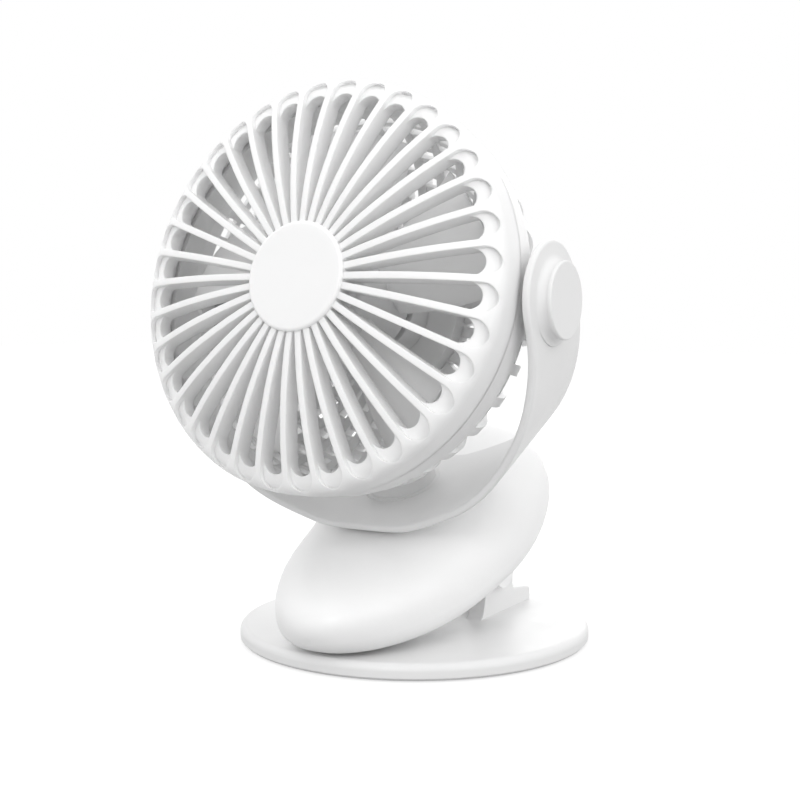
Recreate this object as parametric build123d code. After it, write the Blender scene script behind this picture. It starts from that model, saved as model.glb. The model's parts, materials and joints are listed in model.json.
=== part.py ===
from build123d import *
from functools import cache
from math import acos, atan2, cos, hypot, pi, radians, sin, sqrt
import os

# A small clip-on fan. Millimetres, +Z up, origin under the centre of the round base, clip opening
# towards -Y. The clip body leans back by lean. The yoke turns about the leaning axis of the clip
# body, and the fan head tilts in the yoke about the X axis.

# ---- clearances and fits ----
running_gap = 0.05            # radial, pins and shafts that turn
assembly_gap = 0.15           # radial, parts that slide together once
rest_gap = 0.3                # between bodies that nearly touch
press_gap = 0.05              # radial, parts pressed or snapped together
screw_gap = 0.1               # radial, screws through holes
cut_margin = 1.0              # how far a cutter runs past the face it opens

# ---- base ----
base_radius = 61.0
base_top_z = 5.8
base_edge_radius = 2.4
base_rim_z = 0.5              # the rim stands this far above the table
base_rim_chamfer = 0.8
pad_margin = 6.0              # the rubber foot ends this far inside the base's edge
pad_thickness = 1.4
weight_margin = 5.0           # and the weight this far inside the foot
weight_thickness = 2.2
base_screw_margin = 8.0       # and the screws this far inside the weight's edge
base_screw_count = 4
screw_head_radius = 2.4
screw_head_height = 1.2
screw_shank_radius = 1.2
base_screw_reach = 1.4        # thread length in the base above the weight

# ---- clip hinge ----
hinge_y = 19.5
hinge_drop = 7.75             # hinge axis below the clip body's centre
hinge_pin_radius = 2.0
ear_inner_x = 16.5
ear_thickness = 6.0
ear_top_radius = 5.2
ear_front_y = 9.2
ear_rear_y = 33.0
ear_rear_drop = 3.5           # rear corner below the hinge axis
ear_foot_fillet = 3.0
tail_margin = 11.0            # the block ends this far inside the base's edge
tail_front_drop = 9.5         # its top at the ears, below the hinge axis
tail_fall = 2.8               # its top falls this much to the rear
tail_corner_radius = 3.0
tail_edge_radius = 0.8
tail_slot_length = 4.0
tail_slot_width = 1.4
tail_slot_depth = 2.5
tail_slot_setback = 4.0       # middle of the slots, behind the ears
tail_slot_pitch = 2.6
lug_gap = 0.6                 # between ear and lug
lug_thickness = 3.0
lug_radius = 7.0
lug_skin = 1.1                # wall left outside the blind end of the pin
pin_end_inset = 0.2
ear_pocket_gap = 0.5          # round the ears, where they reach into the clip body
hinge_backing_thickness = 3.6
hinge_backing_margin = 1.0

# ---- torsion spring ----
spring_wire_radius = 0.7
spring_coil_radius = 3.2
spring_pitch = 2.0
spring_turns = 5
spring_upper_angle = 27.5     # rise of the upper leg towards the rear
spring_lower_angle = 20.5     # fall of the lower leg towards the rear
spring_upper_length = 14.0
spring_lower_length = 16.5
spring_pocket_gap = 0.6

# ---- clip body (upper jaw), local frame: y to the rear, z away from the base ----
lean = 24.0
jaw_y = -0.4
jaw_base_gap = 0.28           # between the base and the lowest point of the clip body
jaw_half_length = 67.95
jaw_half_width = 39.8
jaw_top_height = 21.85
jaw_bottom_depth = 12.45
jaw_plan_power = 2.08
jaw_section_power = 2.34
jaw_egg = 0.169               # the rear is this share wider than an even oval
jaw_bend = 9.73               # rise of both tips
jaw_tip_cut = 0.0015          # share of the length left off, so that the tips stay true faces
jaw_wall = 2.2
jaw_cover_inset = 8.0         # the cover's edge, in from the outline seen from above
jaw_cover_gap = 0.1
jaw_cover_limit_z = 4.0
jaw_pad_thickness = 1.2
jaw_pad_setback = 10.95       # the pad starts this far behind the front tip
jaw_pad_length = 20.0
jaw_pad_half_width = 14.0
jaw_pad_corner_radius = 5.0
jaw_screw_spots = [(-21.0, -24.0), (21.0, -24.0), (-24.0, 30.0), (24.0, 30.0)]
jaw_screw_length = 12.0
jaw_screw_seat_z = -6.6
jaw_screw_head_height = 1.7
jaw_screw_tip_room = 0.5
jaw_boss_radius = 4.4
jaw_post_radius = 3.4         # the shell's side of the screw bosses
jaw_boss_z = -4.0             # where the screw bosses of shell and cover meet
battery_radius = 9.2
battery_length = 65.0
battery_edge_radius = 0.8
battery_nub_radius = 2.8
battery_nub_height = 1.0
battery_z = 3.6
cradle_thickness = 2.0
cradle_drop = 30.0            # how far a saddle reaches down before it is trimmed

# ---- swivel ----
swivel_y = 2.54               # in the clip body's frame
head_floor_room = 5.31        # between the circle of the head's rim and the underside of the yoke's seat
flange_radius = 14.0
flange_sink = 0.75            # the flange starts this far below the clip body's top
flange_thickness = 2.5
flange_edge_radius = 0.3
flange_side_gap = 1.0         # between the flange and the shell round it
post_radius = 5.5
post_bore_radius = 2.6        # for the battery wires
post_seat_depth = 3.4
post_seat_margin = 0.5        # the shell's seat is this much wider than the flange
post_clip_thickness = 1.6
post_end = 0.6                # below the clip ring
washer_thickness = 0.6
washer_radius = 8.2
washer_gap = 0.4
nut_radius = 7.4
nut_thickness = 2.2

# ---- yoke, local frame: origin on the tilt axis, z along the swivel axis ----
yoke_half_width = 68.9
yoke_power = 2.2
yoke_wall = 2.5
yoke_edge_radius = 0.9
yoke_boss_radius = 12.0
yoke_floor_thickness = 3.3
yoke_seat_radius = 13.5
yoke_seat_drop = 0.3          # the seat stands this far below the strap
yoke_cover_radius = 10.0
yoke_cover_thickness = 1.1
yoke_cover_proud = 0.2        # the cover stands this far above the boss
yoke_cover_edge_radius = 0.5
arm_end_radius = 18.0
arm_front = [(20.2, 22.0), (26.3, 52.0)]     # front edge of an arm: ahead of and below the tilt axis
yoke_front_y = -28.5          # half way round the bottom
yoke_rear_y = 19.5
yoke_edge_below = 2.0         # the side outline runs this far below the strap

# ---- tilt pivot, measured along X from the middle ----
arm_pad_height = 1.2          # the pads stand this far inside the arms
pivot_boss_radius = 9.0
pivot_boss_bite = 7.0         # the bosses start this far inside the rim's radius
pivot_washer_thickness = 0.6
arm_pad_radius = 10.5
collar_radius = 11.4
collar_flare = 2.2            # radius of the hollow blend from the arm to the collar
collar_height = 2.7           # outside the arm
collar_bore_depth = 3.3
collar_bore_radius = 9.2
knob_radius = 11.75
knob_thickness = 1.3
knob_edge_radius = 0.5
knob_plug_wall = 1.2
knob_plug_depth = 1.0
pivot_screw_shoulder_radius = 2.8
pivot_screw_thread_radius = 1.9
pivot_screw_reach = 9.0
pivot_screw_head_radius = 4.6
pivot_screw_head_height = 1.9
pivot_screw_tip_room = 0.5
drive_length = 5.0
drive_width = 1.0
drive_depth = 1.0
spring_washer_radius = 6.0
spring_washer_thickness = 0.5

# ---- fan head, axial frame: f is measured forward of the tilt axis, r from the fan axis ----
nose_up = 11.92
rib_count = 36
rib_width = 2.1
rib_depth = 6.3
hub_radius = 17.0
hub_face_f = 36.7
hub_step = 1.0                # the ribs start this far behind the hub's face
hub_wall = 2.0
hub_skirt_f = 27.0
dome_radius = 116.0           # radius of the line of the ribs
dome_edge_r = 57.5
dome_edge_f = 30.1
rim_radius = 64.8
rim_start_f = 23.6            # the rounded shoulder meets the side wall
seam_f = 15.3
rim_wall = 2.2
rim_draft = 0.2
shoulder_step = 2.5           # the inside shoulder, behind the dome's inner edge
slot_end_r = 59.5
recess_end_r = 64.0
recess_depth = 1.8
recess_low_f = 24.9
spigot_length = 3.0
spigot_wall = 1.6
band_rear_f = 6.0
band_rear_r = 63.7
band_slope = 4.0              # length of the band's inner slope
rear_start_turn = -98.0       # direction of the outline behind the band
rear_side_radius = 44.0
rear_side_turn = 42.0
rear_back_radius = 40.5
rear_back_turn = 37.0
rear_ring_count = 8
rear_ring_pitch = 5.4
rear_ring_width = 2.0
rear_bar_width = 3.4
rear_shell = 2.2
rear_bar_depth = 4.4
rear_ring_set = 0.3           # the rings stand this far outside the bars' inner edges
bar_tongue = 1.5              # the bars run this far up inside the band
bar_tongue_inset = 0.4
bar_tongue_foot = 1.0
chamber_radius = 25.0
chamber_wall = 2.0
chamber_floor_f = -21.0
chamber_floor_thickness = 2.0
chamber_rear_f = -30.4
wire_hole_radius = 2.2
cover_thickness = 2.0
cover_edge_radius = 1.2
cover_boss_radius = 2.6
cover_boss_depth = 1.0        # the bosses run this far past the chamber's floor

# ---- motor and impeller ----
motor_radius = 12.5
motor_length = 16.0
motor_edge_radius = 1.0
motor_neck_radius = 3.0
motor_neck_height = 0.6
motor_cup_wall = 1.8
motor_cup_depth = 10.0
shaft_end_room = 0.5
shaft_radius = 1.0
shaft_in_motor = 11.0
shaft_in_hub = 17.0
spinner_radius = 17.0
spinner_front_f = 24.0
spinner_rear_f = -3.8
spinner_wall = 1.8
spinner_edge_radius = 3.0
spinner_boss_radius = 3.2
spinner_boss_gap = 1.6        # in front of the motor
blade_count = 5
blade_tip_radius = 53.0
blade_middle_f = 9.0
blade_thickness = 1.8
blade_root_bite = 1.2         # the blades start this far inside the spinner's skin
blade_tip_spare = 3.0         # trimmed off by the tip circle
blade_middle_r = 34.0
blade_shapes = [(22, 42, 1.5, -4), (31, 33, 2.8, 0), (43, 24, 3.6, 7)]   # chord, pitch, camber, sweep

# ---- controls at the back of the head ----
board_radius = 20.0
board_thickness = 1.2
board_gap = 0.6               # solder side to the chamber's floor
switch_size = 6.0
switch_height = 3.0
plunger_radius = 1.7
plunger_height = 0.6
button_radius = 5.0
button_proud = 1.0
button_flange = 1.2
button_flange_thickness = 0.9
button_travel = 0.7
button_y = 6.5                # above the fan axis
port_width = 9.0
port_height = 3.3
port_y = -12.5
port_setback = 0.4            # the port's mouth behind the cover's outer face
port_sheet = 0.35
port_tongue_width = 6.6
port_tongue_thickness = 0.7
port_tongue_setback = 1.0
led_radius = 1.2
led_x = 9.5
led_proud = 0.1
cover_screw_circle = 21.3
cover_screw_count = 3
cover_screw_radius = 0.9
cover_screw_head_radius = 1.9
cover_screw_head_sink = 0.2
cover_screw_head_height = 1.1
cover_screw_reach = 4.0       # thread length in the chamber's bosses
cover_screw_gap = 0.12
board_notch_radius = 3.2
board_spacer_radius = 1.5
board_spacer_count = 3
board_spacer_inset = 3.0
board_spacer_phase = 30.0
button_tip_length = 1.5
button_edge_radius = 0.5
button_hole_gap = 0.2

# ---- worked out from the sizes above ----
pad_radius = base_radius - pad_margin
weight_radius = pad_radius - weight_margin
base_screw_circle = weight_radius - base_screw_margin
tail_rear_y = base_radius - tail_margin
ear_outer_x = ear_inner_x + ear_thickness
lug_inner_x = ear_outer_x + lug_gap
lug_outer_x = lug_inner_x + lug_thickness
jaw_pad_middle_y = jaw_pad_setback + jaw_pad_length / 2 - jaw_half_length
flange_bottom_z = jaw_top_height - flange_sink
flange_top_z = flange_bottom_z + flange_thickness
pivot_height = flange_top_z + rim_radius + head_floor_room     # tilt axis above the clip body's centre
yoke_bottom_z = flange_top_z - pivot_height           # underside of the yoke's seat
arm_pad_x = yoke_half_width - yoke_wall - arm_pad_height
pivot_face_x = arm_pad_x - pivot_washer_thickness    # outer face of the bosses on the head
collar_end_x = yoke_half_width + collar_height
collar_floor_x = collar_end_x - collar_bore_depth
knob_outer_x = collar_end_x + knob_thickness
motor_front_f = chamber_floor_f + motor_length


def jaw_size(t):
    """Share of the clip body's full height at t, from -1 at the front tip to 1 at the rear tip."""
    return (1 - abs(t) ** jaw_section_power) ** (1 / jaw_section_power)


def jaw_underside_drop(t):
    """How far the underside at t lies below the clip body's centre, once the body leans back."""
    height = jaw_bend * t * t - jaw_bottom_depth * jaw_size(t)
    return -t * jaw_half_length * sin(radians(lean)) - height * cos(radians(lean))


jaw_z = base_top_z + jaw_base_gap + max(jaw_underside_drop(-i / 1000) for i in range(1000))
hinge_z = jaw_z - hinge_drop
ear_rear_z = hinge_z - ear_rear_drop
tail_front_z = hinge_z - tail_front_drop
tail_rear_z = tail_front_z - tail_fall

CLIP = Pos(0, jaw_y, jaw_z) * Rot(X=lean)
YOKE = CLIP * Pos(0, swivel_y, pivot_height)
pivot = YOKE.position
HEAD = Pos(pivot) * Rot(X=-nose_up)
AXIAL = HEAD * Rot(X=90)      # local z is f, local y is up


# ---- helpers ----
def rod(radius, start, end):
    """A cylinder about the local z axis."""
    return Pos(0, 0, (start + end) / 2) * Cylinder(radius, abs(end - start))


def tube(outer, inner, start, end):
    """A round tube about the local z axis."""
    return rod(outer, start, end) - rod(inner, start - 1, end + 1)


def cross_rod(radius, start, end):
    """A cylinder about the x axis."""
    return Rot(Y=90) * rod(radius, start, end)


def face_of(*curves):
    """One flat face inside curves that meet end to end."""
    return make_face([edge for curve in curves for edge in curve.edges()])


def turned(*curves):
    """A solid of revolution about z, from curves drawn as (radius, height)."""
    return revolve(Plane.XZ * face_of(*curves), Axis.Z)


def plate_x(outline, start, end):
    """A flat outline drawn in (y, z), given thickness from one x to another."""
    return extrude(Plane.YZ.offset(start) * outline, end - start)


def ring_of(shape, count, phase=0.0):
    """Copies of a shape spread evenly about the z axis."""
    return [Rot(Z=phase + 360 * i / count) * shape for i in range(count)]


def both_sides(shape):
    return [shape, mirror(shape, about=Plane.YZ)]


def joined(shapes):
    """Several solids fused in one go."""
    return shapes[0].fuse(*shapes[1:])


def group(shapes):
    """Separate solids that share one node."""
    return Compound(children=[solid for shape in shapes for solid in shape.solids()])


def tangent_point(outside, centre, radius, side):
    """Where a line from an outside point touches a circle; side is 1 or -1."""
    dy, dz = outside[0] - centre[0], outside[1] - centre[1]
    angle = atan2(dz, dy) + side * acos(radius / hypot(dy, dz))
    return (centre[0] + radius * cos(angle), centre[1] + radius * sin(angle))


nodes = {}


def write(name, shape):
    nodes[name] = shape
    export_step(shape, f"parts/{name}.step")


# ---- base ----
def base_screw_hole(gap):
    """One countersunk screw of the base, drawn with its head down; gap widens it."""
    low = pad_thickness
    shoulder = low + screw_head_height
    top = low + weight_thickness + base_screw_reach
    head = Pos(0, 0, low + screw_head_height / 2) * Cone(
        screw_head_radius + gap, screw_shank_radius + gap, screw_head_height)
    return Pos(base_screw_circle, 0, 0) * (head + rod(screw_shank_radius + gap, shoulder, top + gap))


def base_ear():
    hinge = (hinge_y, hinge_z)
    foot = (ear_front_y, base_top_z)
    corner = (ear_rear_y, ear_rear_z)
    front_touch = tangent_point(foot, hinge, ear_top_radius, -1)
    rear_touch = tangent_point(corner, hinge, ear_top_radius, 1)
    below = base_top_z - cut_margin
    outline = face_of(Polyline((ear_front_y, below), foot, front_touch, hinge, rear_touch, corner,
                               (ear_rear_y, below), close=True))
    outline += Pos(*hinge) * Circle(ear_top_radius)
    return plate_x(outline, ear_inner_x, ear_outer_x)


def tail_block():
    below = base_top_z - cut_margin
    outline = face_of(Polyline((ear_rear_y, below), (ear_rear_y, tail_front_z), (tail_rear_y, tail_rear_z),
                               (tail_rear_y, below), close=True))
    block = plate_x(outline, -ear_outer_x, ear_outer_x)
    block = fillet(block.edges().filter_by(Axis.Z).group_by(Axis.Y)[-1], tail_corner_radius)
    block = fillet(block.faces().sort_by(Axis.Z)[-1].edges().group_by(Axis.Y)[-1], tail_edge_radius)
    slot = Pos(0, 0, tail_front_z) * Box(tail_slot_width, tail_slot_length, 2 * tail_slot_depth)
    for i in (1, 2):
        place = Pos(ear_outer_x - i * tail_slot_pitch, ear_rear_y + tail_slot_setback, 0)
        block -= group(both_sides(place * slot))
    return block


def base_top():
    edge = base_edge_radius
    corner_centre = (base_radius - edge, base_top_z - edge)
    disc = turned(
        Polyline((0, pad_thickness + weight_thickness), (0, base_top_z), (base_radius - edge, base_top_z)),
        CenterArc(corner_centre, edge, 90, -90),
        Polyline((base_radius, base_top_z - edge), (base_radius, base_rim_z + base_rim_chamfer),
                 (base_radius - base_rim_chamfer, base_rim_z), (pad_radius + assembly_gap, base_rim_z),
                 (pad_radius + assembly_gap, pad_thickness), (weight_radius + assembly_gap, pad_thickness),
                 (weight_radius + assembly_gap, pad_thickness + weight_thickness),
                 (0, pad_thickness + weight_thickness)))
    body = joined([disc, tail_block()] + both_sides(base_ear()))
    feet = [line for line in body.edges().filter_by(Axis.X)
            if (line.center() - Vector(line.center().X, ear_front_y, base_top_z)).length < rest_gap]
    body = fillet(feet, ear_foot_fillet)
    reach = ear_outer_x + cut_margin
    body -= Pos(0, hinge_y, hinge_z) * cross_rod(hinge_pin_radius, -reach, reach)
    for hole in ring_of(base_screw_hole(press_gap), base_screw_count, 45):
        body -= hole
    return body


def base_weight():
    plate = rod(weight_radius, pad_thickness, pad_thickness + weight_thickness)
    for hole in ring_of(base_screw_hole(screw_gap), base_screw_count, 45):
        plate -= hole
    return plate


def base_pad():
    return rod(pad_radius, 0, pad_thickness)


def base_screws():
    return group(ring_of(base_screw_hole(0), base_screw_count, 45))


# ---- clip hinge ----
def hinge_pin():
    pin = cross_rod(hinge_pin_radius, -lug_outer_x + pin_end_inset, lug_outer_x - lug_skin)
    return Pos(0, hinge_y, hinge_z) * pin


def arc_pair(start, start_way, end, end_way):
    """Two arcs that join one point and direction to another without a kink."""
    chord = end - start
    ways = start_way + end_way
    spread = 2 * (1 - start_way.dot(end_way))
    reach = (sqrt(chord.dot(ways) ** 2 + spread * chord.dot(chord)) - chord.dot(ways)) / spread
    middle = (start + start_way * reach + end - end_way * reach) / 2
    first = Edge.make_tangent_arc(start, start_way, middle)
    second = Edge.make_tangent_arc(middle, first % 1, end)
    return [first, second]


spring_first = 90 + spring_upper_angle                 # where the coil starts and ends, as turned angles
spring_last = 270 - spring_lower_angle + 360 * spring_turns


def spring_point(angle):
    """A point of the coil's centre line."""
    x = spring_pitch / 360 * (angle - (spring_first + spring_last) / 2)
    return Vector(x, hinge_y + spring_coil_radius * cos(radians(angle)),
                  hinge_z + spring_coil_radius * sin(radians(angle)))


def spring_way(angle):
    """The direction in which the wire runs there."""
    return Vector(spring_pitch / (2 * pi), -spring_coil_radius * sin(radians(angle)),
                  spring_coil_radius * cos(radians(angle))).normalized()


def spring_upper_leg():
    end = spring_point(spring_first)
    return Edge.make_line(end - spring_way(spring_first) * spring_upper_length, end)


def spring_path():
    """The spring's centre line: a straight leg, the coil in quarter turns, and a second leg."""
    quarters = round((spring_last - spring_first) / 90)
    step = (spring_last - spring_first) / quarters
    stations = [spring_first + i * step for i in range(quarters + 1)]
    edges = [spring_upper_leg()]
    for a, b in zip(stations, stations[1:]):
        edges += arc_pair(spring_point(a), spring_way(a), spring_point(b), spring_way(b))
    end = spring_point(spring_last)
    edges.append(Edge.make_line(end, end + spring_way(spring_last) * spring_lower_length))
    return Wire(edges)


def spring_leg_groove():
    """Clear room round the upper leg, where it lies in the clip body's cover."""
    leg = spring_upper_leg()
    start = leg @ 0 - (leg % 0) * 2 * cut_margin
    section = Plane(origin=start, z_dir=leg % 0) * Circle(spring_wire_radius + rest_gap)
    return extrude(section, spring_upper_length + 2 * cut_margin)


def torsion_spring():
    path = spring_path()
    section = Plane(origin=path @ 0, z_dir=path % 0) * Circle(spring_wire_radius)
    return sweep(section, path=path)


def spring_least_gap():
    """Smallest clear space between neighbouring turns, measured on points of the centre line."""
    path = spring_path()
    count = 600
    spacing = path.length / count
    points = [path @ (i / count) for i in range(count + 1)]
    apart = int(pi * spring_coil_radius / spacing)
    least = min((points[i] - points[j]).length for i in range(count) for j in range(i + apart, count))
    return least - 2 * spring_wire_radius


# ---- clip body ----
def jaw_wire(t, inset):
    """One cross-section of the clip body at t, from -1 at the front tip to 1 at the rear tip.

    Each quarter is one Bezier curve whose handles make it bulge like a superellipse of that power.
    """
    y = t * (jaw_half_length - inset)
    size = jaw_size(t)
    plan = (1 - abs(t) ** jaw_plan_power) ** (1 / jaw_plan_power)
    half_width = (jaw_half_width - inset) * (1 + jaw_egg * t) * plan
    middle = jaw_bend * t * t
    handle = (8 * 0.5 ** (1 / jaw_section_power) - 4) / 3
    top = (jaw_top_height - inset) * size
    bottom = (inset - jaw_bottom_depth) * size
    edges = []
    for x, height in ((half_width, top), (-half_width, top), (-half_width, bottom), (half_width, bottom)):
        quarter = [(x, 0), (x, handle * height), (handle * x, height), (0, height)]
        edges.append(Edge.make_bezier(*[(px, y, middle + pz) for px, pz in quarter]))
    return Wire(edges)


@cache
def jaw_body(inset=0.0):
    """The clip body's outer form, drawn in by inset all round."""
    turn = (-90, -81, -72, -60, -45, -25, 0, 25, 45, 60, 72, 81, 90)
    return Solid.make_loft([jaw_wire(sin(radians(a)) * (1 - jaw_tip_cut), inset) for a in turn])


def half_space(top):
    """A box that is larger than the clip body, below a height."""
    room = 4 * jaw_half_length
    return Pos(0, 0, top - room / 2) * Box(room, room, room)


def plan_prism(inset):
    """An upright prism with the clip body's outline seen from above, drawn in by inset."""
    turn = [radians(a) for a in (-90, -75, -58, -38, -12, 12, 38, 58, 75, 90)]
    power = 2 / jaw_plan_power
    length = jaw_half_length - inset
    right = []
    for a in turn:
        t = abs(sin(a)) ** power * (1 if a > 0 else -1)
        half_width = (jaw_half_width - inset) * (1 + jaw_egg * t) * max(cos(a), 0) ** power
        right.append((half_width, t * length))
    left = [(-x, y) for x, y in right]
    outline = face_of(Spline(right), Spline(left))
    return extrude(Pos(0, 0, -2 * jaw_bottom_depth) * outline, 2 * jaw_bottom_depth + jaw_cover_limit_z)


hinge_place = (CLIP.inverse() * Pos(0, hinge_y, hinge_z)).position
HINGE_IN_CLIP = Pos(0, hinge_place.Y, hinge_place.Z)


def jaw_pad_room():
    """The recess for the rubber pad, open below and flat behind."""
    outline = Pos(0, jaw_pad_middle_y) * RectangleRounded(
        2 * jaw_pad_half_width, jaw_pad_length, jaw_pad_corner_radius)
    prism = extrude(Pos(0, 0, -2 * jaw_bottom_depth) * outline, 2 * jaw_bottom_depth + jaw_cover_limit_z)
    return prism & CLIP.inverse() * half_space(base_top_z + rest_gap + jaw_pad_thickness)


def jaw_pad():
    """Rubber pad let into the cover where the clip body meets the base."""
    return jaw_body() & jaw_pad_room()


def jaw_lug():
    """One hinge lug, outside the base's ear."""
    outline = Circle(lug_radius) + Pos(0, lug_radius) * Rectangle(2 * lug_radius, 2 * lug_radius)
    return HINGE_IN_CLIP * plate_x(outline, lug_inner_x, lug_outer_x)


def battery_cradle():
    """Two saddles under the battery, before they are trimmed to the cover."""
    saddle = Box(2 * battery_radius, cradle_thickness, cradle_drop)
    middle = -(cradle_drop + battery_radius) / 2
    saddles = [Pos(0, y, middle) * saddle for y in (-battery_length / 3, battery_length / 3)]
    hollow = Rot(X=90) * rod(battery_radius + assembly_gap, -battery_length, battery_length)
    return Pos(0, 0, battery_z) * (joined(saddles) - hollow)


def jaw_bottom_cover():
    low = -2 * jaw_bottom_depth
    trim = jaw_body(jaw_wall / 2)
    plate = (jaw_body() - jaw_body(jaw_wall)) & plan_prism(jaw_cover_inset) & half_space(jaw_cover_limit_z)
    pocket_radius = ear_top_radius + ear_pocket_gap
    backing = HINGE_IN_CLIP * Pos(0, 0, pocket_radius) * Box(
        2 * lug_outer_x, 2 * (pocket_radius + hinge_backing_margin), hinge_backing_thickness)
    boss = rod(jaw_boss_radius, low, jaw_boss_z - jaw_cover_gap)
    bosses = [Pos(x, y, 0) * boss & trim for x, y in jaw_screw_spots]
    lugs = [lug - jaw_body(jaw_wall) for lug in both_sides(jaw_lug())]
    cover = joined([plate, backing & trim, battery_cradle() & trim] + bosses + lugs)
    ear_pocket = cross_rod(pocket_radius, ear_inner_x - ear_pocket_gap, ear_outer_x + ear_pocket_gap)
    coil_half = spring_pitch * (spring_turns + 1) / 2 + cut_margin
    coil_room = spring_coil_radius + spring_wire_radius + spring_pocket_gap
    pin_bore = cross_rod(hinge_pin_radius + running_gap, -lug_outer_x - cut_margin, lug_outer_x - lug_skin)
    for cut in both_sides(ear_pocket) + [cross_rod(coil_room, -coil_half, coil_half), pin_bore]:
        cover -= HINGE_IN_CLIP * cut
    cover -= CLIP.inverse() * spring_leg_groove()
    for x, y in jaw_screw_spots:
        cover -= Pos(x, y, 0) * rod(screw_head_radius + 4 * screw_gap, low, jaw_screw_seat_z)
        cover -= Pos(x, y, 0) * rod(screw_shank_radius + 2 * screw_gap, low, jaw_boss_z + cut_margin)
    return cover - jaw_pad_room()


def jaw_shell():
    """The one-piece clip body, open below for the bottom cover."""
    high = 2 * jaw_top_height
    trim = jaw_body(jaw_wall / 2)
    shell = jaw_body() - jaw_body(jaw_wall) - plan_prism(jaw_cover_inset - jaw_cover_gap)
    seat_foot = flange_bottom_z - post_seat_depth
    seat = Pos(0, swivel_y, 0) * rod(flange_radius + post_seat_margin, seat_foot, flange_bottom_z)
    bosses = [Pos(x, y, 0) * rod(jaw_post_radius, jaw_boss_z, high) & trim for x, y in jaw_screw_spots]
    shell = joined([shell, seat & trim] + bosses)
    shell -= Pos(0, swivel_y, 0) * rod(flange_radius + flange_side_gap, flange_bottom_z, high)
    shell -= Pos(0, swivel_y, 0) * rod(post_radius + running_gap, 0, high)
    screw_tip = jaw_screw_seat_z + jaw_screw_length + jaw_screw_tip_room
    for x, y in jaw_screw_spots:
        shell -= Pos(x, y, 0) * rod(screw_shank_radius, jaw_boss_z - cut_margin, screw_tip)
    return shell - jaw_pad_room()


def jaw_screws():
    head = rod(screw_head_radius, jaw_screw_seat_z - jaw_screw_head_height, jaw_screw_seat_z)
    shank = rod(screw_shank_radius, jaw_screw_seat_z, jaw_screw_seat_z + jaw_screw_length)
    return group([Pos(x, y, 0) * (head + shank) for x, y in jaw_screw_spots])


def battery_cell():
    end = battery_length / 2
    cell = fillet(rod(battery_radius, battery_nub_height - end, end).edges(), battery_edge_radius)
    nub = rod(battery_nub_radius, -end, 2 * battery_nub_height - end)
    return Pos(0, 0, battery_z) * Rot(X=90) * (cell + nub)


# ---- swivel between clip body and yoke ----
def swivel_post():
    top = yoke_bottom_z + pivot_height + yoke_floor_thickness + washer_thickness + nut_thickness
    foot = flange_bottom_z - post_seat_depth - post_clip_thickness - post_end
    post = rod(post_radius, foot, top) + rod(flange_radius, flange_bottom_z, flange_top_z)
    post = fillet(post.edges().filter_by(GeomType.CIRCLE).group_by(SortBy.RADIUS)[-1], flange_edge_radius)
    return Pos(0, swivel_y, 0) * (post - rod(post_bore_radius, foot - cut_margin, top + cut_margin))


def swivel_clip():
    """Ring under the top shell that keeps the post in the clip body."""
    high = flange_bottom_z - post_seat_depth
    return Pos(0, swivel_y, 0) * tube(nut_radius, post_radius, high - post_clip_thickness, high)


def swivel_nut():
    low = yoke_bottom_z + yoke_floor_thickness + washer_thickness
    blank = extrude(Pos(0, 0, low) * RegularPolygon(nut_radius, 6), nut_thickness)
    return blank - rod(post_radius, low - cut_margin, low + nut_thickness + cut_margin)


def swivel_washer():
    low = yoke_bottom_z + yoke_floor_thickness
    return tube(washer_radius, post_radius + running_gap, low, low + washer_thickness)


def swivel_cover():
    low = yoke_bottom_z + yoke_floor_thickness + washer_thickness + nut_thickness + rest_gap
    disc = rod(yoke_cover_radius - press_gap, low, low + yoke_cover_thickness)
    return fillet(disc.edges().sort_by(Axis.Z)[-1], yoke_cover_edge_radius)


# ---- yoke ----
def oval_band(half_width, depth):
    """Half of a rounded oval below the tilt axis, closed along the axis, as a face in (x, z)."""
    power = 2 / yoke_power
    turn = (0, 12, 26, 42, 58, 74, 90)
    points = [(half_width * max(cos(radians(a)), 0) ** power, -depth * sin(radians(a)) ** power)
              for a in turn]
    right = Spline(points, tangents=[(0, -1), (-1, 0)])
    left = Spline([(-x, z) for x, z in points], tangents=[(0, -1), (1, 0)])
    high = arm_end_radius + cut_margin
    top = Polyline((half_width, 0), (half_width, high), (-half_width, high), (-half_width, 0))
    return face_of(right, left, top)


def yoke_side_outline():
    """The yoke seen from the side, as a face in (y, z)."""
    bottom = yoke_bottom_z - yoke_edge_below
    along = [(-ahead, -below) for ahead, below in arm_front]
    front = Spline([(-arm_end_radius, 0)] + along + [(yoke_front_y, bottom)], tangents=[(0, -1), (0, -1)])
    rear = Spline([(arm_end_radius, 0), (yoke_rear_y, bottom)], tangents=[(0, -1), (0, -1)])
    cap = CenterArc((0, 0), arm_end_radius, 0, 180)
    return face_of(front, Line((yoke_front_y, bottom), (yoke_rear_y, bottom)), rear, cap)


def collar():
    """The round collar on an arm, with a hollow blend at its foot."""
    foot = yoke_half_width - yoke_wall / 2
    top = yoke_half_width + collar_flare
    blend = CenterArc((collar_radius + collar_flare, top), collar_flare, 180, 90)
    return Rot(Y=90) * turned(
        Polyline((0, foot), (0, collar_end_x), (collar_radius, collar_end_x), (collar_radius, top)), blend,
        Polyline(blend @ 1, (collar_radius + collar_flare, foot), (0, foot)))


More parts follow.
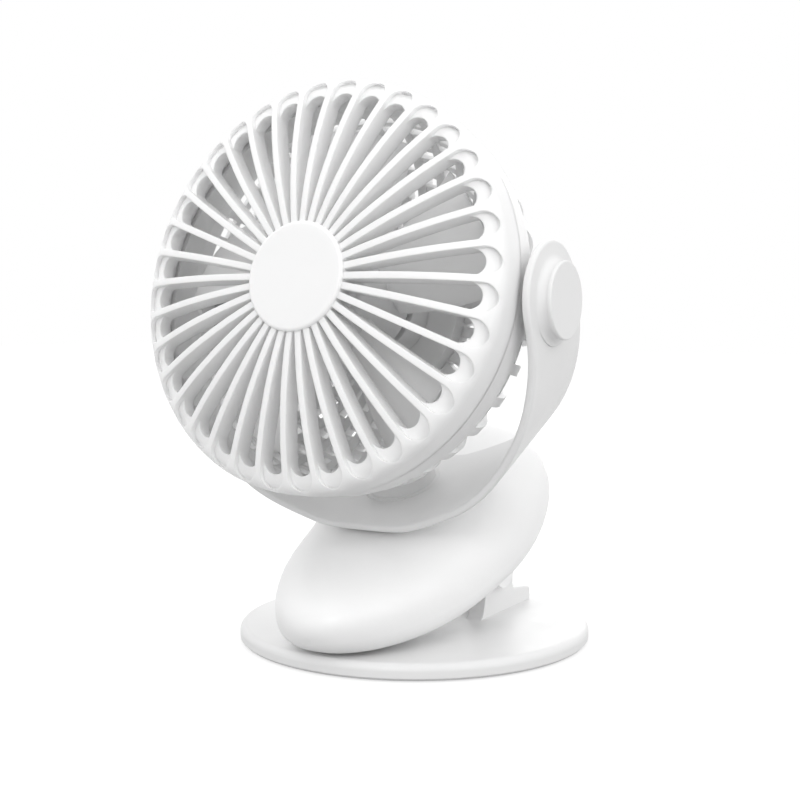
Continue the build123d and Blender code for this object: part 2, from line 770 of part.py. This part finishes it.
def yoke():
    depth = -yoke_bottom_z - yoke_seat_drop
    outer = extrude(Plane.XZ * oval_band(yoke_half_width, depth), yoke_half_width, both=True)
    inner_oval = oval_band(yoke_half_width - yoke_wall, depth - yoke_wall)
    inner = extrude(Plane.XZ * inner_oval, yoke_half_width, both=True)
    strap = (outer - inner) & plate_x(yoke_side_outline(), -2 * yoke_half_width, 2 * yoke_half_width)
    strap = fillet(strap.edges().filter_by(GeomType.LINE, reverse=True), yoke_edge_radius)
    top = yoke_bottom_z + yoke_floor_thickness
    rim = top + washer_thickness + nut_thickness + rest_gap
    boss_top = rim + yoke_cover_thickness - yoke_cover_proud
    floor = rod(yoke_seat_radius, yoke_bottom_z, top) + rod(yoke_boss_radius, top - cut_margin, boss_top)
    pad = cross_rod(arm_pad_radius, arm_pad_x, yoke_half_width)
    body = joined([strap, floor] + both_sides(pad) + both_sides(collar()))
    body -= rod(washer_radius + washer_gap, top, boss_top + cut_margin)
    body -= rod(yoke_cover_radius, rim, boss_top + cut_margin)
    body -= rod(post_radius + running_gap, yoke_bottom_z - cut_margin, rim)
    bore = cross_rod(collar_bore_radius, collar_floor_x, collar_end_x + cut_margin)
    pivot_hole = cross_rod(pivot_screw_shoulder_radius + running_gap, arm_pad_x - cut_margin,
                           collar_floor_x + cut_margin)
    for cut in both_sides(bore) + both_sides(pivot_hole):
        body -= cut
    return body


def knob_cap():
    """Round cap that closes the outside of an arm's collar."""
    disc = fillet(rod(knob_radius, collar_end_x, knob_outer_x).edges().sort_by(Axis.Z)[-1], knob_edge_radius)
    plug = tube(collar_bore_radius, collar_bore_radius - knob_plug_wall, collar_end_x - knob_plug_depth,
                (collar_end_x + knob_outer_x) / 2)
    return Rot(Y=90) * (disc + plug)


# ---- tilt pivot hardware, fixed to the head ----
def pivot_screws():
    head_start = collar_floor_x + spring_washer_thickness
    screw = joined([
        rod(pivot_screw_thread_radius, pivot_face_x - pivot_screw_reach, pivot_face_x),
        rod(pivot_screw_shoulder_radius, pivot_face_x, head_start),
        rod(pivot_screw_head_radius, head_start, head_start + pivot_screw_head_height)])
    bar = Box(drive_length, drive_width, 2 * drive_depth)
    drive = Pos(0, 0, head_start + pivot_screw_head_height) * (bar + Rot(Z=90) * bar)
    return group(both_sides(Rot(Y=90) * (screw - drive)))


def pivot_washers():
    washer = tube(pivot_boss_radius, pivot_screw_shoulder_radius, pivot_face_x, arm_pad_x)
    return group(both_sides(Rot(Y=90) * washer))


def spring_washers():
    end = collar_floor_x + spring_washer_thickness
    washer = tube(spring_washer_radius, pivot_screw_shoulder_radius, collar_floor_x, end)
    return group(both_sides(Rot(Y=90) * washer))


# ---- front grille ----
def front_line(drop):
    """The front of the grille from the hub to the side wall, drop below its proud surface."""
    start = (hub_radius, hub_face_f - hub_step - drop)
    edge = (dome_edge_r, dome_edge_f - drop)
    rim = (rim_radius - drop / 2, rim_start_f - drop / 2)
    arc = RadiusArc(start, edge, dome_radius)
    slope = arc % 1
    if (arc @ 0.5).Y < (start[1] + edge[1]) / 2:
        arc = RadiusArc(start, edge, -dome_radius)
        slope = arc % 1
    return arc, Spline([edge, rim], tangents=[(slope.X, slope.Y), (0, -1)]), start, rim


def slot_outline(end_r):
    """A long slot between two ribs, centred on the x axis, with a round outer end."""
    half = radians(180 / rib_count)
    side = rib_width / 2
    centre = (end_r + side) / (1 + sin(half))
    end_radius = end_r - centre
    inner_x = hub_radius - 1
    inner_y = inner_x * sin(half) / cos(half) - side / cos(half)
    touch = (centre - end_radius * sin(half), end_radius * cos(half))
    outline = face_of(
        Polyline((inner_x, -inner_y), (touch[0], -touch[1])),
        ThreePointArc((touch[0], -touch[1]), (end_r, 0), touch),
        Polyline(touch, (inner_x, inner_y), (inner_x, -inner_y)))
    return outline - Circle(hub_radius)


def front_solid():
    """The grille before its slots are cut."""
    arc, shoulder, start, rim = front_line(0)
    wall_r = rim_radius - rim_wall
    inner_edge = (dome_edge_r, dome_edge_f - rib_depth)
    inner_start = (hub_radius - hub_wall, hub_face_f - hub_step - rib_depth)
    inner_arc = RadiusArc(inner_edge, inner_start, -dome_radius)
    if (inner_arc @ 0.5).Y < (inner_edge[1] + inner_start[1]) / 2:
        inner_arc = RadiusArc(inner_edge, inner_start, dome_radius)
    return turned(
        Polyline((0, hub_face_f), (hub_radius - hub_step, hub_face_f)),
        CenterArc((hub_radius - hub_step, hub_face_f - hub_step), hub_step, 90, -90),
        arc, shoulder,
        Polyline(rim, (rim_radius - rim_draft, seam_f), (wall_r, seam_f),
                 (wall_r, inner_edge[1] - shoulder_step), inner_edge),
        inner_arc,
        Polyline(inner_start, (hub_radius - hub_wall, hub_face_f - hub_wall), (0, hub_face_f - hub_wall),
                 (0, hub_face_f)))


def front_grille():
    body = front_solid()
    body += tube(hub_radius, hub_radius - hub_wall, hub_skirt_f, hub_face_f - 2 * hub_step)
    arc, shoulder, start, rim = front_line(recess_depth)
    filler = turned(arc, shoulder, Polyline(rim, (rim[0], 0), (0, 0), (0, start[1]), start))
    through = extrude(Pos(0, 0, seam_f) * slot_outline(slot_end_r), 40)
    recess = extrude(Pos(0, 0, recess_low_f) * slot_outline(recess_end_r), 40) - filler
    cutter = through + recess
    return body.cut(*ring_of(cutter, rib_count, 180 / rib_count))


# ---- rear grille ----
def rear_line(inset):
    """The back of the head from the side band to the middle as two tangent arcs, drawn in by inset."""
    way = Vector(1, 0).rotate(Axis.Z, rear_start_turn)
    start = Vector(band_rear_r, band_rear_f) + way.rotate(Axis.Z, -90) * inset
    side = JernArc(start, way, rear_side_radius - inset, -rear_side_turn)
    back = JernArc(side @ 1, side % 1, rear_back_radius - inset, -rear_back_turn)
    return side, back


def rear_bar():
    """One radial bar of the rear grille, standing on the x axis."""
    side, back = rear_line(0)
    inner_side, inner_back = rear_line(rear_bar_depth)
    tongue_f = band_rear_f + bar_tongue
    outline = face_of(side, back, Line(back @ 1, inner_back @ 1), inner_back, inner_side,
                      Polyline(inner_side @ 0, (band_rear_r - rear_bar_depth + bar_tongue_foot, tongue_f),
                               (band_rear_r - bar_tongue_inset, tongue_f), side @ 0))
    return extrude(Plane.XZ * outline, rear_bar_width / 2, both=True)


def rear_rings():
    """The round hoops that the bars join, each a ring of constant section."""
    side, back = rear_line(rear_bar_depth - rear_shell / 2 - rear_ring_set)
    rings = []
    for i in range(1, rear_ring_count + 1):
        along = i * rear_ring_pitch
        line, place = (side, along / side.length) if along < side.length else (
            back, (along - side.length) / back.length)
        at, way = line @ place, line % place
        place = Plane(origin=(at.X, 0, at.Y), x_dir=(way.X, 0, way.Y), z_dir=(0, -1, 0))
        rings.append(revolve(place * Rectangle(rear_ring_width, rear_shell), Axis.Z))
    return rings


def rear_grille():
    wall_r = rim_radius - rim_wall
    outer_r = wall_r - assembly_gap
    band = turned(Polyline(
        (rim_radius - rim_draft, seam_f), (band_rear_r, band_rear_f),
        (band_rear_r - rear_bar_depth, band_rear_f), (outer_r - spigot_wall, band_rear_f + band_slope),
        (outer_r - spigot_wall, seam_f + spigot_length), (outer_r, seam_f + spigot_length), (outer_r, seam_f),
        close=True))
    chamber = tube(chamber_radius, chamber_radius - chamber_wall, chamber_rear_f, chamber_floor_f)
    floor_rear_f = chamber_floor_f - chamber_floor_thickness
    floor = rod(chamber_radius, floor_rear_f, chamber_floor_f)
    cup_radius = motor_radius + screw_gap
    cup = tube(cup_radius + motor_cup_wall, cup_radius, chamber_floor_f - running_gap,
               chamber_floor_f + motor_cup_depth)
    spot = Pos(cover_screw_circle, 0, 0)
    boss = spot * rod(cover_boss_radius, chamber_rear_f, chamber_floor_f - cover_boss_depth)
    pivot_boss = cross_rod(pivot_boss_radius, rim_radius - pivot_boss_bite, pivot_face_x)
    body = joined([band, chamber, floor, cup] + rear_rings() + ring_of(rear_bar(), rib_count)
                  + ring_of(boss, cover_screw_count, 90) + both_sides(pivot_boss))
    hole = spot * rod(cover_screw_radius, chamber_rear_f - cut_margin,
                      chamber_rear_f + cover_screw_reach + cut_margin)
    pivot_hole = cross_rod(pivot_screw_thread_radius, pivot_face_x - pivot_screw_reach - pivot_screw_tip_room,
                           pivot_face_x + cut_margin)
    wire_hole = rod(wire_hole_radius, floor_rear_f - cut_margin, chamber_floor_f + cut_margin)
    lid_room = rod(chamber_radius + rest_gap, chamber_rear_f - cover_thickness - cut_margin, chamber_rear_f)
    for cut in ring_of(hole, cover_screw_count, 90) + both_sides(pivot_hole) + [wire_hole, lid_room]:
        body -= cut
    return body


# ---- motor and impeller ----
def motor():
    can = rod(motor_radius, chamber_floor_f, motor_front_f)
    can = fillet(can.edges().sort_by(Axis.Z)[-1], motor_edge_radius)
    neck = rod(motor_neck_radius, motor_front_f - cut_margin, motor_front_f + motor_neck_height)
    bore_low = motor_front_f - shaft_in_motor - shaft_end_room
    bore_high = motor_front_f + motor_neck_height + cut_margin
    return can + neck - rod(shaft_radius + running_gap, bore_low, bore_high)


def rotor_shaft():
    return rod(shaft_radius, motor_front_f - shaft_in_motor, motor_front_f + shaft_in_hub)


def blade_section(radius, shape):
    """A thin curved section standing across the radius."""
    chord, pitch, camber, sweep_angle = shape
    half = chord / 2
    nose = blade_thickness / 4
    belly = camber + blade_thickness / 2
    back = camber - blade_thickness / 2
    outline = face_of(
        ThreePointArc((-half, nose), (0, belly), (half, nose)),
        Line((half, nose), (half, -nose)),
        ThreePointArc((half, -nose), (0, back), (-half, -nose)),
        Line((-half, -nose), (-half, nose)))
    place = Plane(origin=(radius, 0, blade_middle_f), x_dir=(0, 1, 0), z_dir=(1, 0, 0))
    return Rot(Z=sweep_angle) * (place * (Rot(Z=pitch) * outline))


def impeller():
    edge = spinner_edge_radius
    inner = spinner_radius - spinner_wall
    spinner = turned(
        Polyline((0, spinner_front_f), (spinner_radius - edge, spinner_front_f)),
        CenterArc((spinner_radius - edge, spinner_front_f - edge), edge, 90, -90),
        Polyline((spinner_radius, spinner_front_f - edge), (spinner_radius, spinner_rear_f),
                 (inner, spinner_rear_f), (inner, spinner_front_f - edge),
                 (inner - edge + spinner_wall, spinner_front_f - spinner_wall),
                 (0, spinner_front_f - spinner_wall), (0, spinner_front_f)))
    boss = rod(spinner_boss_radius, motor_front_f + spinner_boss_gap, spinner_front_f - spinner_wall / 2)
    stations = (spinner_radius - blade_root_bite, blade_middle_r, blade_tip_radius + blade_tip_spare)
    blade = loft([blade_section(r, shape) for r, shape in zip(stations, blade_shapes)])
    blade = blade & rod(blade_tip_radius, spinner_rear_f, spinner_front_f)
    body = joined([spinner, boss] + ring_of(blade, blade_count, 90))
    return body - rod(shaft_radius, motor_front_f, motor_front_f + shaft_in_hub)


# ---- controls ----
def board_top_f():
    """Face of the control board that carries the switch and the port."""
    return chamber_floor_f - chamber_floor_thickness - board_gap - board_thickness


def control_board():
    top = board_top_f()
    board = rod(board_radius, top, top + board_thickness)
    notch = rod(board_notch_radius, top - cut_margin, top + board_thickness + cut_margin)
    for cut in ring_of(Pos(cover_screw_circle, 0, 0) * notch, cover_screw_count, 90):
        board -= cut
    spacer = rod(board_spacer_radius, top + board_thickness, top + board_thickness + board_gap)
    spot = Pos(board_radius - board_spacer_inset, 0, 0)
    return joined([board] + ring_of(spot * spacer, board_spacer_count, board_spacer_phase))


def tact_switch():
    top = board_top_f()
    low = top - switch_height
    body = Pos(0, 0, (low + top) / 2) * Box(switch_size, switch_size, switch_height)
    return Pos(0, button_y, 0) * (body + rod(plunger_radius, low - plunger_height, low))


def power_button():
    tip = board_top_f() - switch_height - plunger_height - button_travel
    rear = chamber_rear_f - cover_thickness - button_proud
    cap = rod(button_radius, rear, tip - button_tip_length / 2)
    cap = fillet(cap.edges().sort_by(Axis.Z)[0], button_edge_radius)
    flange = rod(button_radius + button_flange, chamber_rear_f, chamber_rear_f + button_flange_thickness)
    return Pos(0, button_y, 0) * (cap + flange + rod(plunger_radius, tip - button_tip_length, tip))


def port_outline(gap):
    """The port's stadium shape, a hair short of a full half circle at each end."""
    end_radius = port_height / 2 + gap - running_gap
    return Pos(0, port_y) * RectangleRounded(port_width + 2 * gap, port_height + 2 * gap, end_radius)


def charge_port():
    top = board_top_f()
    mouth = chamber_rear_f - cover_thickness + port_setback
    shell = extrude(Pos(0, 0, mouth) * port_outline(0), top - mouth)
    hollow = extrude(Pos(0, 0, mouth - cut_margin) * port_outline(-port_sheet), top - mouth - cut_margin / 2)
    tongue_mouth = mouth + port_tongue_setback
    tongue = Pos(0, port_y, (tongue_mouth + top) / 2) * Box(
        port_tongue_width, port_tongue_thickness, top - tongue_mouth)
    return shell - hollow + tongue


def led_lens():
    end = chamber_rear_f - cover_thickness - led_proud
    return Pos(led_x, button_y, 0) * rod(led_radius, end, board_top_f())


def rear_cover():
    rear = chamber_rear_f - cover_thickness
    low, high = rear - cut_margin, chamber_rear_f + cut_margin
    lid = rod(chamber_radius, rear, chamber_rear_f)
    lid = fillet(lid.edges().sort_by(Axis.Z)[0], cover_edge_radius)
    lid -= Pos(0, button_y, 0) * rod(button_radius + button_hole_gap, low, high)
    lid -= Pos(led_x, button_y, 0) * rod(led_radius + screw_gap, low, high)
    lid -= extrude(Pos(0, 0, low) * port_outline(assembly_gap), high - low)
    for cut in ring_of(cover_screw(cover_screw_gap), cover_screw_count, 90):
        lid -= cut
    return lid


def cover_screw(gap):
    """One pan-head screw of the rear cover; gap widens it and opens its head's hole outwards."""
    rear = chamber_rear_f - cover_thickness
    seat = rear + cover_screw_head_sink + cover_screw_head_height
    head = rod(cover_screw_head_radius + gap, rear + cover_screw_head_sink - 3 * gap, seat)
    shank = rod(cover_screw_radius + gap, seat - cover_screw_head_sink, chamber_rear_f + cover_screw_reach)
    return Pos(cover_screw_circle, 0, 0) * (head + shank)


def cover_screws():
    return group(ring_of(cover_screw(0), cover_screw_count, 90))


# ---- build and write ----
os.makedirs("parts", exist_ok=True)

write("base_top", base_top())
write("base_weight", base_weight())
write("base_pad", base_pad())
write("base_screws", base_screws())
write("hinge_pin", hinge_pin())
write("torsion_spring", torsion_spring())
print("least gap between the spring's turns:", round(spring_least_gap(), 2))

write("jaw_shell", CLIP * jaw_shell())
write("jaw_bottom_cover", CLIP * jaw_bottom_cover())
write("jaw_pad", CLIP * jaw_pad())
write("jaw_screws", CLIP * jaw_screws())
write("battery_cell", CLIP * battery_cell())
write("swivel_post", CLIP * swivel_post())
write("swivel_clip", CLIP * swivel_clip())
write("swivel_nut", YOKE * swivel_nut())

write("yoke", YOKE * yoke())
write("swivel_washer", YOKE * swivel_washer())
write("swivel_cover", YOKE * swivel_cover())
write("knob_cap_right", YOKE * knob_cap())
write("knob_cap_left", YOKE * mirror(knob_cap(), about=Plane.YZ))

write("pivot_screws", HEAD * pivot_screws())
write("pivot_washers", HEAD * pivot_washers())
write("spring_washers", HEAD * spring_washers())
write("front_grille", AXIAL * front_grille())
write("rear_grille", AXIAL * rear_grille())
write("motor", AXIAL * motor())
write("rotor_shaft", AXIAL * rotor_shaft())
write("impeller", AXIAL * impeller())
write("control_board", AXIAL * control_board())
write("tact_switch", AXIAL * tact_switch())
write("power_button", AXIAL * power_button())
write("charge_port", AXIAL * charge_port())
write("led_lens", AXIAL * led_lens())
write("rear_cover", AXIAL * rear_cover())
write("cover_screws", AXIAL * cover_screws())
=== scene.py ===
import json

import bpy
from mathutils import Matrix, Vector

# A small white clip-on fan: materials, light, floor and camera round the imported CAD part.
# Metres, +Z up, the fan blows towards -Y.

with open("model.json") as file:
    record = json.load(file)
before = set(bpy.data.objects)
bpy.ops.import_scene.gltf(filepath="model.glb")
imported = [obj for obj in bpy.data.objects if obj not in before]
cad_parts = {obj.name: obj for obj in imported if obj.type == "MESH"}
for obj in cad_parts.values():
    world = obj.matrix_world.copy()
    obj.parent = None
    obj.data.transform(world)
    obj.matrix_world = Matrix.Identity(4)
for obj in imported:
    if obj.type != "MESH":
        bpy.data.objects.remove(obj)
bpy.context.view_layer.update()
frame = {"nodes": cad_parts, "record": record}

# ---- camera, at the photograph's viewing angle ----
CAMERA_PLACE = (0.2231, -0.3856, 0.1137)
CAMERA_WAY = (-0.5093, 0.8578, -0.0692)
CAMERA_LENS = 57.5                 # mm
CAMERA_SENSOR = 36.0               # mm
CAMERA_NEAR, CAMERA_FAR = 0.01, 20.0

# ---- colours, linear ----
WHITE_GLOSS = (0.92, 0.92, 0.92)
WHITE_SATIN = (0.83, 0.83, 0.83)
WHITE_BLADE = (0.93, 0.93, 0.93)
SILICONE = (0.72, 0.72, 0.71)
FOOT_GREY = (0.16, 0.16, 0.16)
STEEL = (0.56, 0.57, 0.58)
SPRING = (0.36, 0.37, 0.39)
SOLDER_MASK = (0.02, 0.11, 0.05)
SWITCH_BLACK = (0.012, 0.012, 0.013)
CELL_BLUE = (0.03, 0.12, 0.30)
LENS_CLEAR = (0.92, 0.95, 1.0)
FLOOR_PALE = (0.40, 0.40, 0.40)

# ---- variation of each kind of surface ----
# A noise is cells per metre and detail. A darkest is the factor of the darker of its two tones.
# A gloss spread is what the roughness loses and gains. Depths and edges are in metres.
NOISE_MIDDLE = (0.3, 0.7)          # the part of a noise that is spread over a range
EDGE_SAMPLES = 6

MOULD_TONE = (38, 3)
MOULD_GLOSS = (140, 4)
MOULD_GRAIN = (2600, 2)
MOULD_DARKEST = 0.975
MOULD_GLOSS_SPREAD = (0.04, 0.05)
MOULD_GRAIN_DEPTH = 0.00002
COAT_ROUGHNESS = 0.22

RUBBER_TONE = (60, 4)
RUBBER_GLOSS = (300, 3)
RUBBER_GRAIN = (1500, 3)
RUBBER_DARKEST = 0.90
RUBBER_GLOSS_SPREAD = (0.06, 0.06)
RUBBER_GRAIN_DEPTH = 0.00005
RUBBER_GRAIN_STRENGTH = 0.4
RUBBER_EDGE = 0.0003

METAL_STREAK = (400, 4)
METAL_DARKEST = 0.85
METAL_GLOSS_SPREAD = (0.07, 0.08)
METAL_GRAIN_DEPTH = 0.00001
METAL_GRAIN_STRENGTH = 0.3
METAL_EDGE = 0.0002

CLEAR_TONE = (500, 2)
CLEAR_DARKEST = 0.96
CLEAR_TRANSMISSION = 0.9
CLEAR_ROUGHNESS = 0.18
CLEAR_IOR = 1.49                   # acrylic

FLOOR_TONE = (12, 3)
FLOOR_DARKEST = 0.99
FLOOR_ROUGHNESS = 0.85
FLOOR_REACH = 3.0                  # from the middle to each edge

# ---- lamps: name, place, aimed at, size, watts ----
LAMPS = [
    ("lamp_key", (0.20, -1.00, 0.55), (0.0, -0.02, 0.10), 0.40, 1.9),
    ("lamp_right", (0.85, -0.25, 0.45), (0.0, -0.02, 0.10), 0.80, 1.6),
    ("lamp_top", (-0.35, -0.20, 0.90), (0.0, 0.0, 0.08), 0.80, 1.0),
    ("lamp_back", (-0.35, 0.95, 0.30), (0.0, -0.04, 0.12), 0.70, 1.7),
]
SKY_LEVEL = 0.97                   # light from all round
FLOOR_LIFT = 0.68                  # what the camera sees the floor gain, so that it reads white


class Nodes:
    """Short calls for laying out one material's node tree."""

    def __init__(self, name):
        self.material = bpy.data.materials.new(name)
        self.material.use_nodes = True
        self.tree = self.material.node_tree
        self.tree.nodes.clear()

    def add(self, kind, **values):
        node = self.tree.nodes.new(kind)
        for key, value in values.items():
            setattr(node, key, value)
        return node

    def link(self, source, target):
        self.tree.links.new(source, target)

    def noise(self, scale, detail, streaks=None):
        """Noise over the object's own coordinates, drawn out by the three factors in streaks."""
        place = self.add("ShaderNodeTexCoord").outputs["Object"]
        if streaks:
            stretch = self.add("ShaderNodeMapping")
            stretch.inputs["Scale"].default_value = streaks
            self.link(place, stretch.inputs["Vector"])
            place = stretch.outputs["Vector"]
        noise = self.add("ShaderNodeTexNoise")
        noise.inputs["Scale"].default_value = scale
        noise.inputs["Detail"].default_value = detail
        self.link(place, noise.inputs["Vector"])
        return noise.outputs["Fac"]

    def spread(self, source, middle, reach):
        """Maps the middle of a noise onto a range from below to above a value."""
        below, above = reach
        ramp = self.add("ShaderNodeMapRange")
        ramp.inputs["From Min"].default_value, ramp.inputs["From Max"].default_value = NOISE_MIDDLE
        ramp.inputs["To Min"].default_value = middle - below
        ramp.inputs["To Max"].default_value = middle + above
        self.link(source, ramp.inputs["Value"])
        return ramp.outputs["Result"]

    def mixed(self, source, colour, darkest):
        """A colour that wanders with a noise down to a darker tone of itself."""
        mix = self.add("ShaderNodeMix", data_type="RGBA")
        mix.inputs["A"].default_value = (*(part * darkest for part in colour), 1)
        mix.inputs["B"].default_value = (*colour, 1)
        self.link(source, mix.inputs["Factor"])
        return mix.outputs["Result"]

    def bump(self, height, depth, strength, edge):
        """A fine relief, with sharp corners that look rounded to the radius edge."""
        bump = self.add("ShaderNodeBump")
        bump.inputs["Distance"].default_value = depth
        bump.inputs["Strength"].default_value = strength
        self.link(height, bump.inputs["Height"])
        bevel = self.add("ShaderNodeBevel", samples=EDGE_SAMPLES)
        bevel.inputs["Radius"].default_value = edge
        self.link(bevel.outputs["Normal"], bump.inputs["Normal"])
        return bump.outputs["Normal"]

    def surface(self, shader):
        self.link(shader, self.add("ShaderNodeOutputMaterial").inputs["Surface"])
        return self.material


def moulded(name, colour, rough, grain, edge, coat=0.0, glow=0.0, reach=0.0):
    """Injection-moulded plastic: a hair of tone and gloss variation and a very fine mould grain.

    Light goes into it as far as reach, by the share glow.
    """
    n = Nodes(name)
    body = n.add("ShaderNodeBsdfPrincipled")
    n.link(n.mixed(n.noise(*MOULD_TONE), colour, MOULD_DARKEST), body.inputs["Base Color"])
    n.link(n.spread(n.noise(*MOULD_GLOSS), rough, MOULD_GLOSS_SPREAD), body.inputs["Roughness"])
    n.link(n.bump(n.noise(*MOULD_GRAIN), MOULD_GRAIN_DEPTH, grain, edge), body.inputs["Normal"])
    if coat:
        body.inputs["Coat Weight"].default_value = coat
        body.inputs["Coat Roughness"].default_value = COAT_ROUGHNESS
    if glow:
        body.inputs["Subsurface Weight"].default_value = glow
        body.inputs["Subsurface Radius"].default_value = (reach, reach, reach)
        body.inputs["Subsurface Scale"].default_value = 1.0
    return n.surface(body.outputs["BSDF"])


def rubbery(name, colour, rough):
    n = Nodes(name)
    body = n.add("ShaderNodeBsdfPrincipled")
    n.link(n.mixed(n.noise(*RUBBER_TONE), colour, RUBBER_DARKEST), body.inputs["Base Color"])
    n.link(n.spread(n.noise(*RUBBER_GLOSS), rough, RUBBER_GLOSS_SPREAD), body.inputs["Roughness"])
    n.link(n.bump(n.noise(*RUBBER_GRAIN), RUBBER_GRAIN_DEPTH, RUBBER_GRAIN_STRENGTH, RUBBER_EDGE),
           body.inputs["Normal"])
    return n.surface(body.outputs["BSDF"])


def metal(name, colour, rough, streaks):
    """Plated or drawn steel with fine streaks along one direction."""
    n = Nodes(name)
    body = n.add("ShaderNodeBsdfPrincipled")
    body.inputs["Metallic"].default_value = 1.0
    streak = n.noise(*METAL_STREAK, streaks)
    n.link(n.mixed(streak, colour, METAL_DARKEST), body.inputs["Base Color"])
    n.link(n.spread(streak, rough, METAL_GLOSS_SPREAD), body.inputs["Roughness"])
    n.link(n.bump(streak, METAL_GRAIN_DEPTH, METAL_GRAIN_STRENGTH, METAL_EDGE),
           body.inputs["Normal"])
    return n.surface(body.outputs["BSDF"])


def clear(name, colour):
    n = Nodes(name)
    body = n.add("ShaderNodeBsdfPrincipled")
    n.link(n.mixed(n.noise(*CLEAR_TONE), colour, CLEAR_DARKEST), body.inputs["Base Color"])
    body.inputs["Transmission Weight"].default_value = CLEAR_TRANSMISSION
    body.inputs["Roughness"].default_value = CLEAR_ROUGHNESS
    body.inputs["IOR"].default_value = CLEAR_IOR
    return n.surface(body.outputs["BSDF"])


materials = {
    "white_gloss": moulded("white_gloss", WHITE_GLOSS, rough=0.36, grain=0.10, edge=0.0005,
                           coat=0.15, glow=0.9, reach=0.0016),
    "white_satin": moulded("white_satin", WHITE_SATIN, rough=0.42, grain=0.18, edge=0.0004),
    "impeller_white": moulded("impeller_white", WHITE_BLADE, rough=0.40, grain=0.12, edge=0.0003,
                              glow=1.0, reach=0.005),
    "rubber_white": rubbery("rubber_white", SILICONE, rough=0.62),
    "rubber_grey": rubbery("rubber_grey", FOOT_GREY, rough=0.75),
    "steel": metal("steel", STEEL, rough=0.33, streaks=(1.0, 1.0, 12.0)),
    "spring_steel": metal("spring_steel", SPRING, rough=0.36, streaks=(8.0, 1.0, 1.0)),
    "circuit_board": moulded("circuit_board", SOLDER_MASK, rough=0.35, grain=0.3, edge=0.0001),
    "switch_black": moulded("switch_black", SWITCH_BLACK, rough=0.5, grain=0.3, edge=0.0002),
    "battery_wrap": moulded("battery_wrap", CELL_BLUE, rough=0.3, grain=0.1, edge=0.0003),
    "clear_lens": clear("clear_lens", LENS_CLEAR),
}

node_slots = {row["node"]: row["material_slot"] for row in frame["record"]["subparts"]}
for node, obj in frame["nodes"].items():
    for spot in obj.material_slots:
        spot.material = materials[node_slots[node]]


# ---- floor, light and background ----
def seen_ray(tree):
    """1 for what the camera, a gloss or a clear piece sees, and 0 for light on the object."""
    path = tree.nodes.new("ShaderNodeLightPath")
    total = path.outputs["Is Camera Ray"]
    for name in ("Is Glossy Ray", "Is Transmission Ray"):
        either = tree.nodes.new("ShaderNodeMath")
        either.operation = "MAXIMUM"
        tree.links.new(total, either.inputs[0])
        tree.links.new(path.outputs[name], either.inputs[1])
        total = either.outputs[0]
    return total


def placed(name, data):
    """A new object in the scene that holds the data given."""
    obj = bpy.data.objects.new(name, data)
    bpy.context.scene.collection.objects.link(obj)
    return obj


def aimed(obj, place, way):
    """Stands a lamp or camera at a place, looking along a direction."""
    obj.location = place
    obj.rotation_mode = "QUATERNION"
    obj.rotation_quaternion = way.to_track_quat("-Z", "Y")


def floor_plane():
    mesh = bpy.data.meshes.new("floor")
    far = FLOOR_REACH
    mesh.from_pydata([(-far, -far, 0), (far, -far, 0), (far, far, 0), (-far, far, 0)],
                     [], [(0, 1, 2, 3)])
    floor = placed("floor", mesh)
    n = Nodes("floor_pale")
    base = n.add("ShaderNodeBsdfPrincipled")
    n.link(n.mixed(n.noise(*FLOOR_TONE), FLOOR_PALE, FLOOR_DARKEST), base.inputs["Base Color"])
    base.inputs["Roughness"].default_value = FLOOR_ROUGHNESS
    base.inputs["Specular IOR Level"].default_value = 0.0
    seen = n.add("ShaderNodeMath", operation="MULTIPLY")
    seen.inputs[1].default_value = FLOOR_LIFT
    n.link(seen_ray(n.tree), seen.inputs[0])
    lift = n.add("ShaderNodeEmission")
    n.link(seen.outputs["Value"], lift.inputs["Strength"])
    both = n.add("ShaderNodeAddShader")
    n.link(base.outputs["BSDF"], both.inputs[0])
    n.link(lift.outputs["Emission"], both.inputs[1])
    floor.data.materials.append(n.surface(both.outputs["Shader"]))


def sky():
    """White where the camera, a gloss or a clear piece sees it, softer as light."""
    world = bpy.data.worlds.new("studio")
    bpy.context.scene.world = world
    world.use_nodes = True
    tree = world.node_tree
    tree.nodes.clear()
    strength = tree.nodes.new("ShaderNodeMapRange")
    strength.inputs["To Min"].default_value = SKY_LEVEL
    strength.inputs["To Max"].default_value = 1.0
    tree.links.new(seen_ray(tree), strength.inputs["Value"])
    back = tree.nodes.new("ShaderNodeBackground")
    back.inputs["Color"].default_value = (1, 1, 1, 1)
    tree.links.new(strength.outputs["Result"], back.inputs["Strength"])
    out = tree.nodes.new("ShaderNodeOutputWorld")
    tree.links.new(back.outputs["Background"], out.inputs["Surface"])


def lamp(name, place, target, size, watts):
    light = bpy.data.lights.new(name, "AREA")
    light.shape = "DISK"
    light.size = size
    light.energy = watts
    aimed(placed(name, light), place, Vector(target) - Vector(place))


def camera():
    data = bpy.data.cameras.new("camera")
    data.sensor_width = CAMERA_SENSOR
    data.lens = CAMERA_LENS
    data.clip_start, data.clip_end = CAMERA_NEAR, CAMERA_FAR
    obj = placed("camera", data)
    aimed(obj, CAMERA_PLACE, Vector(CAMERA_WAY))
    bpy.context.scene.camera = obj


floor_plane()
sky()
for values in LAMPS:
    lamp(*values)
camera()
bpy.context.scene.view_settings.view_transform = "Standard"
